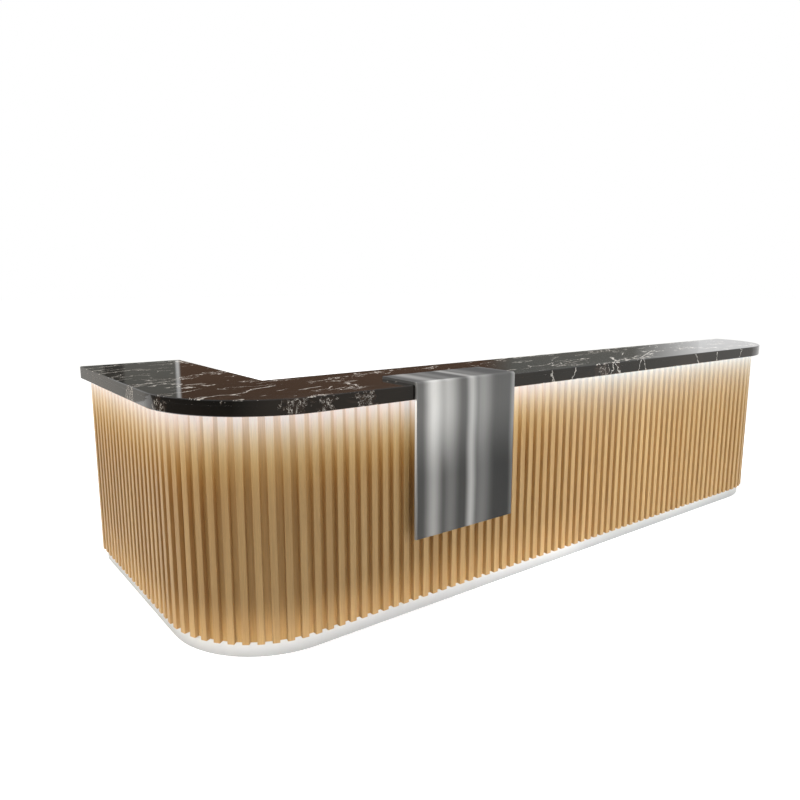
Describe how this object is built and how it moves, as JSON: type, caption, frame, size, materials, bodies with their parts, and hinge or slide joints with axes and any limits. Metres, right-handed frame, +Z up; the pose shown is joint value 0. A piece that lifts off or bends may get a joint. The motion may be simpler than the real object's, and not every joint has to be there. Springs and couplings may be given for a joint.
{
  "type": "service counter",
  "caption": "L-shaped service counter with a slatted oak front, rounded ends, polished dark stone top, lit overhang, hung steel panel, and doors, drawers and shelves for staff.",
  "frame": {"origin": "on the floor under the middle of the whole outline, the hung steel panel included", "axes": "+X along the long front towards the rounded end, -Y towards the customer, +Z up; the return runs along +Y at the -X end"},
  "size_m": [4.1, 1.484, 1.012],
  "materials": {
    "stone": "polished, veined",
    "plywood": "raw",
    "oak": "matt lacquer",
    "oak_backing": "matt lacquer",
    "white_plinth": "white laminate",
    "carcass": "melamine",
    "fronts": "satin laminate",
    "drawer_board": "clear lacquer",
    "foot_plastic": "moulded",
    "channel_aluminium": "anodised",
    "led_strip": "lit",
    "diffuser": "opal, lit",
    "driver_case": "plain",
    "sign_steel": "brushed",
    "hinge_steel": "satin",
    "handle_steel": "satin",
    "runner_steel": "zinc"
  },
  "bodies": {
    "counter": {"worktop_return": "stone", "worktop_corner": "stone", "worktop_end": "stone", "apron_return": "stone", "apron_corner": "stone", "apron_front": "stone", "apron_end": "stone", "apron_staff": "stone", "substrate": "plywood", "slats_front": "oak", "slats_corner": "oak", "slats_return": "oak", "slats_end": "oak", "backing_front": "oak_backing", "backing_corner": "oak_backing", "backing_return": "oak_backing", "backing_end": "oak_backing", "plinth_front": "white_plinth", "plinth_corner": "white_plinth", "plinth_return": "white_plinth", "plinth_end": "white_plinth", "plinth_staff": "white_plinth", "base_boards": "carcass", "gables_front": "carcass", "gables_return": "carcass", "end_rear_panel": "carcass", "wall_end_panel": "carcass", "top_rails": "carcass", "open_shelves": "carcass", "cupboard_shelf": "carcass", "levelling_feet": "foot_plastic", "led_channel": "channel_aluminium", "led_strip": "led_strip", "led_diffuser": "diffuser", "led_driver": "driver_case", "sign_panel": "sign_steel", "hinge_leaves_fixed": "hinge_steel", "hinge_pins": "hinge_steel", "runner_outer_members": "runner_steel"},
    "door_left": {"door_left": "fronts", "door_left_handle": "handle_steel", "door_left_hinges": "hinge_steel"},
    "door_right": {"door_right": "fronts", "door_right_handle": "handle_steel", "door_right_hinges": "hinge_steel"},
    "drawer_1": {"drawer_1_front": "fronts", "drawer_1_box": "drawer_board", "drawer_1_handle": "handle_steel", "drawer_1_runner_inner": "runner_steel"},
    "drawer_1_middle_runner": {"drawer_1_runner_middle": "runner_steel"},
    "drawer_2": {"drawer_2_front": "fronts", "drawer_2_box": "drawer_board", "drawer_2_handle": "handle_steel", "drawer_2_runner_inner": "runner_steel"},
    "drawer_2_middle_runner": {"drawer_2_runner_middle": "runner_steel"},
    "drawer_3": {"drawer_3_front": "fronts", "drawer_3_box": "drawer_board", "drawer_3_handle": "handle_steel", "drawer_3_runner_inner": "runner_steel"},
    "drawer_3_middle_runner": {"drawer_3_runner_middle": "runner_steel"}
  },
  "joints": [
    {"name": "door_left_hinge", "type": "hinge", "parent": "counter", "child": "door_left", "pos_m": [-0.97497, -0.2574, 0.507], "axis": [0, 0, 1], "range_deg": [0, 105]},
    {"name": "door_right_hinge", "type": "hinge", "parent": "counter", "child": "door_right", "pos_m": [-0.17837, -0.2574, 0.507], "axis": [0, 0, -1], "range_deg": [0, 105]},
    {"name": "drawer_1_slide", "type": "slide", "parent": "counter", "child": "drawer_1", "axis": [0, 1, 0], "range_m": [0, 0.32]},
    {"name": "drawer_1_middle_slide", "type": "slide", "parent": "counter", "child": "drawer_1_middle_runner", "axis": [0, 1, 0], "range_m": [0, 0.16]},
    {"name": "drawer_2_slide", "type": "slide", "parent": "counter", "child": "drawer_2", "axis": [0, 1, 0], "range_m": [0, 0.32]},
    {"name": "drawer_2_middle_slide", "type": "slide", "parent": "counter", "child": "drawer_2_middle_runner", "axis": [0, 1, 0], "range_m": [0, 0.16]},
    {"name": "drawer_3_slide", "type": "slide", "parent": "counter", "child": "drawer_3", "axis": [0, 1, 0], "range_m": [0, 0.32]},
    {"name": "drawer_3_middle_slide", "type": "slide", "parent": "counter", "child": "drawer_3_middle_runner", "axis": [0, 1, 0], "range_m": [0, 0.16]}
  ],
  "couplings": [
    {"joint": "drawer_1_middle_slide", "follows": "drawer_1_slide", "ratio": 0.5},
    {"joint": "drawer_2_middle_slide", "follows": "drawer_2_slide", "ratio": 0.5},
    {"joint": "drawer_3_middle_slide", "follows": "drawer_3_slide", "ratio": 0.5}
  ]
}
